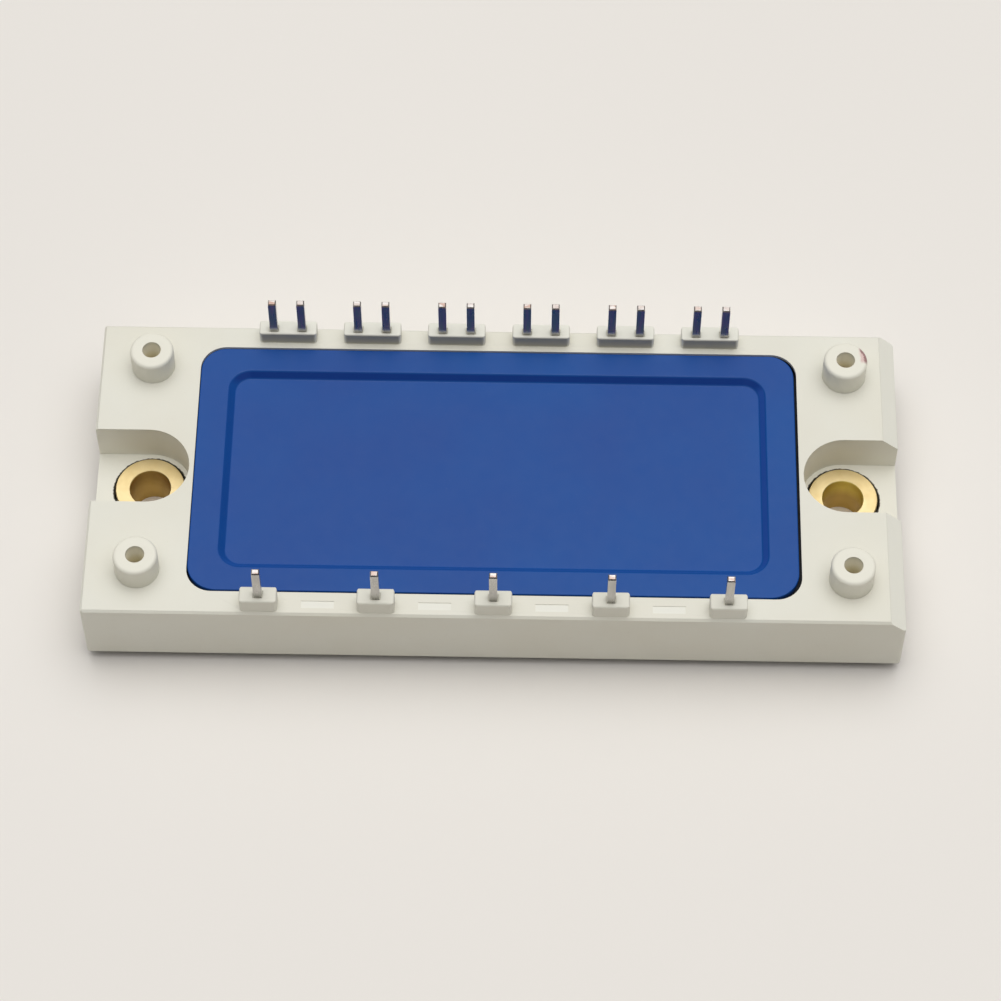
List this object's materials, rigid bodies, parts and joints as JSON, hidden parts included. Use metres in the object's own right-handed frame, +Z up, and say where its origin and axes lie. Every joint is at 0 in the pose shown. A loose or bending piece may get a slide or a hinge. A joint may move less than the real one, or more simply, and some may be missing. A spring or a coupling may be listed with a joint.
{
  "type": "igbt power module",
  "caption": "Flat power semiconductor module: white frame with a sunken blue lid, brass-bushed screw pockets, corner standoffs, solder pins along both long sides and a metal base plate.",
  "frame": {"origin": "middle of the base plate's mounting face, which is the module's lowest face", "axes": "+X along the length, towards the end with the chamfered top edge; +Y towards the row of paired control pins; +Z up, away from the heatsink"},
  "size_m": [0.1076, 0.045, 0.0204],
  "materials": {
    "frame_plastic": "moulded, fine matt grain, warm white",
    "lid_plastic": "satin moulded, blue",
    "bush_brass": "turned, bright",
    "tinned_copper": "tin-plated copper, cut tips show copper",
    "plated_copper": "nickel-plated copper, satin",
    "white_silicone": "cured silicone sealant",
    "bare_copper": "bare copper on ceramic",
    "alumina": "white alumina, matt",
    "solder": "reflowed solder",
    "chip_silicon": "silicon with metallised top",
    "bond_aluminium": "drawn aluminium wire",
    "clear_gel": "clear soft silicone gel"
  },
  "bodies": {
    "root": {"base_plate": "plated_copper", "base_bead": "white_silicone", "housing_frame": "frame_plastic", "lid": "lid_plastic", "screw_bush_left": "bush_brass", "screw_bush_right": "bush_brass", "power_pin_1": "tinned_copper", "power_pin_2": "tinned_copper", "power_pin_3": "tinned_copper", "power_pin_4": "tinned_copper", "power_pin_5": "tinned_copper", "control_pin_1": "tinned_copper", "control_pin_2": "tinned_copper", "control_pin_3": "tinned_copper", "control_pin_4": "tinned_copper", "control_pin_5": "tinned_copper", "control_pin_6": "tinned_copper", "control_pin_7": "tinned_copper", "control_pin_8": "tinned_copper", "control_pin_9": "tinned_copper", "control_pin_10": "tinned_copper", "control_pin_11": "tinned_copper", "control_pin_12": "tinned_copper", "tile_solder_1": "solder", "tile_solder_2": "solder", "tile_solder_3": "solder", "tile_bottom_copper_1": "bare_copper", "tile_bottom_copper_2": "bare_copper", "tile_bottom_copper_3": "bare_copper", "tile_ceramic_1": "alumina", "tile_ceramic_2": "alumina", "tile_ceramic_3": "alumina", "tile_top_copper_1": "bare_copper", "tile_top_copper_2": "bare_copper", "tile_top_copper_3": "bare_copper", "chip_solder_1": "solder", "chip_solder_2": "solder", "chip_solder_3": "solder", "bond_wires_1": "bond_aluminium", "bond_wires_2": "bond_aluminium", "bond_wires_3": "bond_aluminium", "igbt_chip_1": "chip_silicon", "igbt_chip_2": "chip_silicon", "igbt_chip_3": "chip_silicon", "igbt_chip_4": "chip_silicon", "igbt_chip_5": "chip_silicon", "igbt_chip_6": "chip_silicon", "diode_chip_1": "chip_silicon", "diode_chip_2": "chip_silicon", "diode_chip_3": "chip_silicon", "diode_chip_4": "chip_silicon", "diode_chip_5": "chip_silicon", "diode_chip_6": "chip_silicon", "silicone_gel": "clear_gel"}
  },
  "joints": []
}
